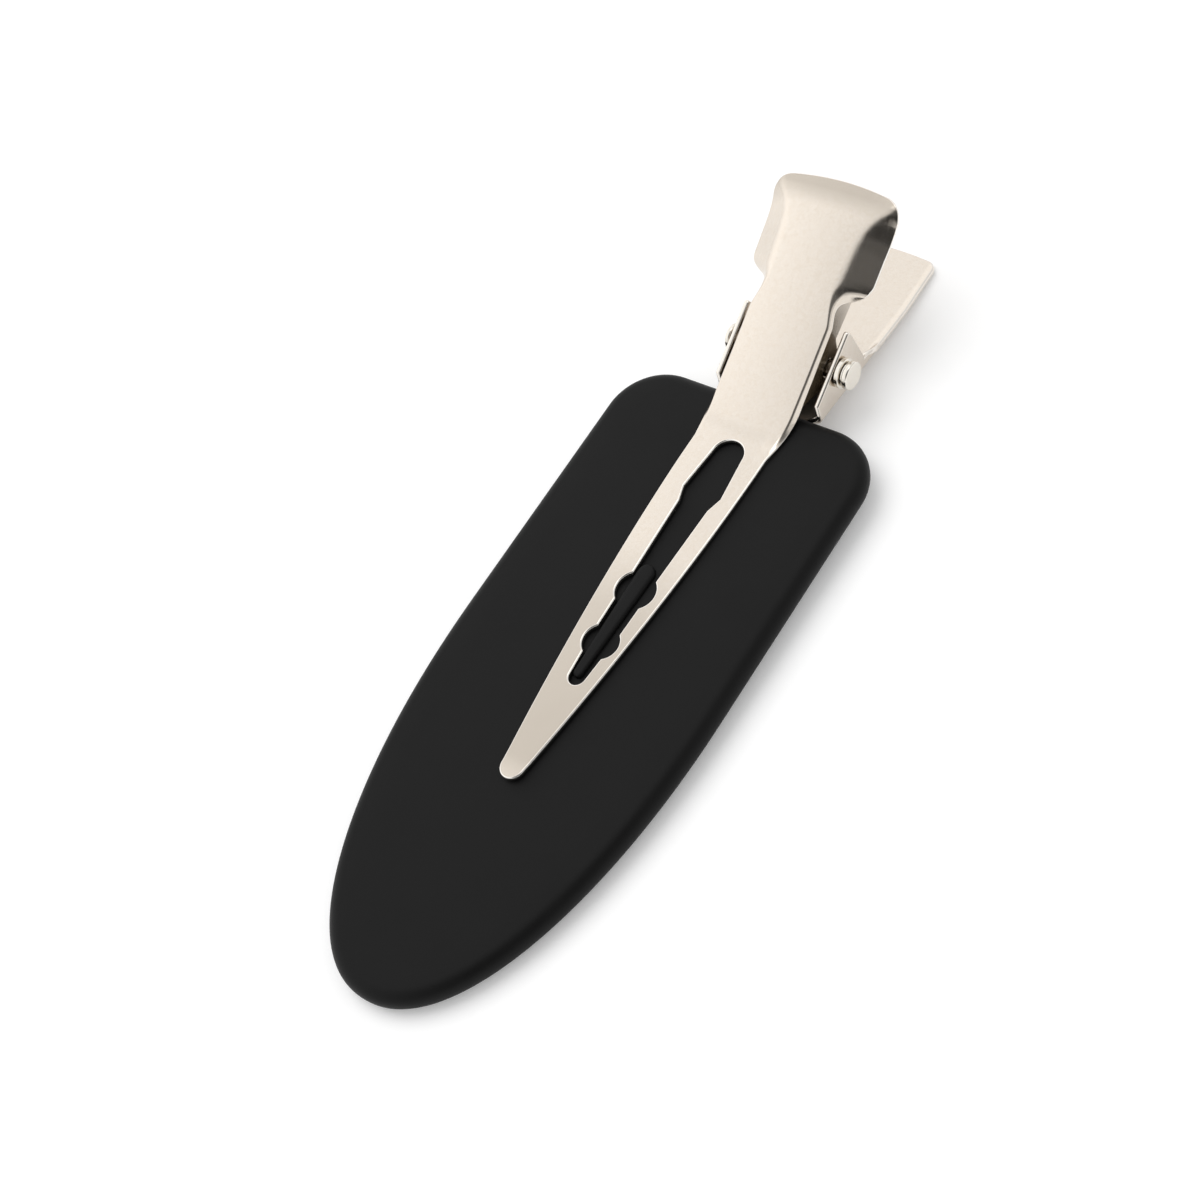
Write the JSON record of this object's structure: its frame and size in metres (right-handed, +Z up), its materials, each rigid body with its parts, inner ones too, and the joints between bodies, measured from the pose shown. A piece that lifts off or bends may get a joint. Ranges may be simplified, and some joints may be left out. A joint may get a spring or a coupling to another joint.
{
  "type": "flat hair clip",
  "caption": "Flat hair clip: a slotted tapering sprung steel jaw closes on a smooth leaf-shaped plate and opens when its thumb pad and tab are squeezed together",
  "frame": {"origin": "middle of the clip's bounding box in X and Y, on the surface that it lies on: the plate's tip and the end of the thumb tab touch z = 0", "axes": "+X across the plate, towards the side where the pin's peened end and its washer show; +Y from the plate's tip towards the thumb end; +Z up, from the plate to the slotted jaw"},
  "size_m": [0.024, 0.0732, 0.012],
  "materials": {
    "black_plastic": "moulded black plastic, matte with a soft sheen along the rounded rim",
    "nickel_plated_steel": "thin stamped spring steel, bright nickel plated, faintly brushed",
    "pin_steel": "nickel-plated turned steel with a polished head",
    "spring_steel": "drawn steel wire, plain"
  },
  "bodies": {
    "base": {"lower_jaw": "nickel_plated_steel", "plate": "black_plastic", "pivot_pin": "pin_steel", "pin_washer": "pin_steel", "torsion_spring": "spring_steel"},
    "lever": {"upper_jaw": "nickel_plated_steel"}
  },
  "joints": [
    {"name": "jaw_hinge", "type": "hinge", "parent": "base", "child": "lever", "pos_m": [0.0006, 0.0217, 0.00418], "axis": [-1, 0, 0], "range_deg": [0, 40], "stiffness_Nm_per_rad": 0.02, "springref_deg": -45.84, "deforming": ["torsion_spring"]}
  ]
}
